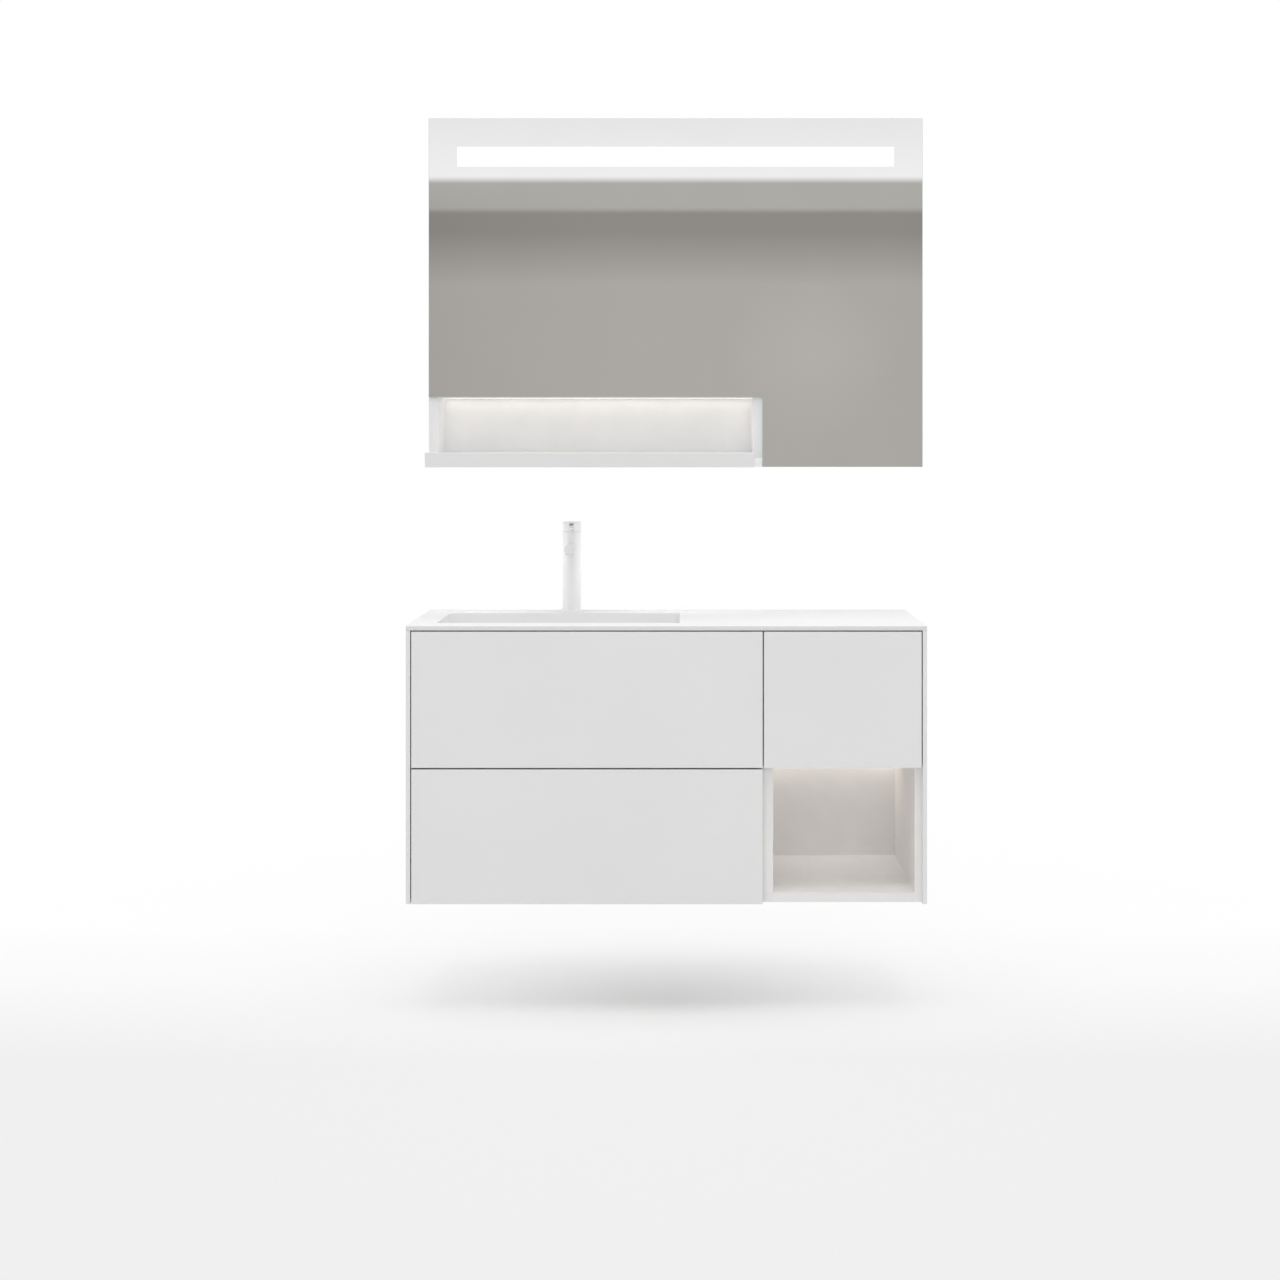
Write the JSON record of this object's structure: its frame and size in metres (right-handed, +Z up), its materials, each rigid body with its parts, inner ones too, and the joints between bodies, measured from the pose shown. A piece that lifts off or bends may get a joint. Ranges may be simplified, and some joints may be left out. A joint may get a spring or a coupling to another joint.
{
  "type": "bathroom vanity set",
  "caption": "Wall-hung white vanity with integrated basin, tap, push-open drawers and lit niche, under an L-shaped lit mirror with an open shelf.",
  "frame": {"origin": "middle of the cabinet's lower back edge, on the wall", "axes": "+X to the user's right, +Y into the wall, +Z up"},
  "size_m": [1.2235, 0.46, 1.854],
  "materials": {
    "solid_surface": "matt mineral solid surface, seamless with the bowl",
    "white_lacquer": "board with matt white lacquer",
    "carcass_white": "board with satin white melamine",
    "drawer_board": "board with pale grey melamine",
    "zinc_steel": "zinc-plated pressed steel",
    "latch_plastic": "light grey moulded plastic",
    "light_profile": "satin anodised extrusion",
    "light_diffuser": "opal diffuser",
    "driver_case": "white moulded case",
    "tap_white": "matt white powder coat on brass",
    "aerator_chrome": "polished",
    "cartridge_plastic": "moulded cartridge body",
    "nut_brass": "machined",
    "pin_steel": "ground pin",
    "trap_plastic": "white moulded plastic",
    "mirror_glass": "silvered float glass"
  },
  "bodies": {
    "wall_fixed": {"countertop": "solid_surface", "basin_bowl": "solid_surface", "claddings": "white_lacquer", "mirror_shelf": "white_lacquer", "carcass_sides": "carcass_white", "partition": "carcass_white", "bottom_board": "carcass_white", "niche_ceiling": "carcass_white", "cabinet_backs": "carcass_white", "cabinet_rails": "carcass_white", "mirror_case_sides": "carcass_white", "mirror_case_boards": "carcass_white", "mirror_back_panel": "carcass_white", "hangers": "zinc_steel", "wall_plates": "zinc_steel", "runner_cabinet_members": "zinc_steel", "push_latches": "latch_plastic", "niche_led_profile": "light_profile", "mirror_led_profiles": "light_profile", "niche_led_diffuser": "light_diffuser", "shelf_led_diffuser": "light_diffuser", "mirror_light_window": "light_diffuser", "led_drivers": "driver_case", "tap_base": "tap_white", "tap_body": "tap_white", "tap_spout": "tap_white", "waste_flange": "tap_white", "tap_aerator": "aerator_chrome", "tap_cartridge": "cartridge_plastic", "tap_fixing_nut": "nut_brass", "waste_nut": "trap_plastic", "trap_body": "trap_plastic", "trap_wall_pipe": "trap_plastic", "mirror_pane": "mirror_glass"},
    "upper_left_drawer": {"upper_left_front": "white_lacquer", "upper_left_sides": "drawer_board", "upper_left_bottom": "drawer_board", "upper_left_back": "drawer_board", "upper_left_runners": "zinc_steel", "upper_left_recess": "drawer_board"},
    "upper_left_runner_middles": {"upper_left_runner_middles": "zinc_steel"},
    "upper_left_plunger": {"upper_left_plunger": "latch_plastic"},
    "lower_left_drawer": {"lower_left_front": "white_lacquer", "lower_left_sides": "drawer_board", "lower_left_bottom": "drawer_board", "lower_left_back": "drawer_board", "lower_left_runners": "zinc_steel"},
    "lower_left_runner_middles": {"lower_left_runner_middles": "zinc_steel"},
    "lower_left_plunger": {"lower_left_plunger": "latch_plastic"},
    "upper_right_drawer": {"upper_right_front": "white_lacquer", "upper_right_sides": "drawer_board", "upper_right_bottom": "drawer_board", "upper_right_back": "drawer_board", "upper_right_runners": "zinc_steel"},
    "upper_right_runner_middles": {"upper_right_runner_middles": "zinc_steel"},
    "upper_right_plunger": {"upper_right_plunger": "latch_plastic"},
    "tap_handle": {"tap_cap": "tap_white", "lever_pin": "pin_steel"},
    "tap_pin_lever": {"tap_lever": "tap_white"},
    "waste_plug": {"waste_plug": "tap_white"}
  },
  "joints": [
    {"name": "upper_left_slide", "type": "slide", "parent": "wall_fixed", "child": "upper_left_drawer", "axis": [0, -1, 0], "range_m": [0, 0.36]},
    {"name": "upper_left_runner_slide", "type": "slide", "parent": "wall_fixed", "child": "upper_left_runner_middles", "axis": [0, -1, 0], "range_m": [0, 0.18]},
    {"name": "upper_left_plunger_press", "type": "slide", "parent": "wall_fixed", "child": "upper_left_plunger", "axis": [0, 1, 0], "range_m": [0, 0.003], "stiffness_N_per_m": 300},
    {"name": "lower_left_slide", "type": "slide", "parent": "wall_fixed", "child": "lower_left_drawer", "axis": [0, -1, 0], "range_m": [0, 0.36]},
    {"name": "lower_left_runner_slide", "type": "slide", "parent": "wall_fixed", "child": "lower_left_runner_middles", "axis": [0, -1, 0], "range_m": [0, 0.18]},
    {"name": "lower_left_plunger_press", "type": "slide", "parent": "wall_fixed", "child": "lower_left_plunger", "axis": [0, 1, 0], "range_m": [0, 0.003], "stiffness_N_per_m": 300},
    {"name": "upper_right_slide", "type": "slide", "parent": "wall_fixed", "child": "upper_right_drawer", "axis": [0, -1, 0], "range_m": [0, 0.36]},
    {"name": "upper_right_runner_slide", "type": "slide", "parent": "wall_fixed", "child": "upper_right_runner_middles", "axis": [0, -1, 0], "range_m": [0, 0.18]},
    {"name": "upper_right_plunger_press", "type": "slide", "parent": "wall_fixed", "child": "upper_right_plunger", "axis": [0, 1, 0], "range_m": [0, 0.003], "stiffness_N_per_m": 300},
    {"name": "tap_temperature", "type": "hinge", "parent": "wall_fixed", "child": "tap_handle", "pos_m": [-0.239, -0.048, 0.8483], "axis": [0, 0, 1], "range_deg": [-45, 45]},
    {"name": "tap_flow", "type": "hinge", "parent": "tap_handle", "child": "tap_pin_lever", "pos_m": [-0.239, -0.048, 0.8483], "axis": [-1, 0, 0], "range_deg": [0, 18]},
    {"name": "waste_plug_lift", "type": "slide", "parent": "wall_fixed", "child": "waste_plug", "axis": [0, 0, 1], "range_m": [0, 0.008]}
  ],
  "couplings": [
    {"joint": "upper_left_runner_slide", "follows": "upper_left_slide", "ratio": 0.5},
    {"joint": "lower_left_runner_slide", "follows": "lower_left_slide", "ratio": 0.5},
    {"joint": "upper_right_runner_slide", "follows": "upper_right_slide", "ratio": 0.5}
  ]
}
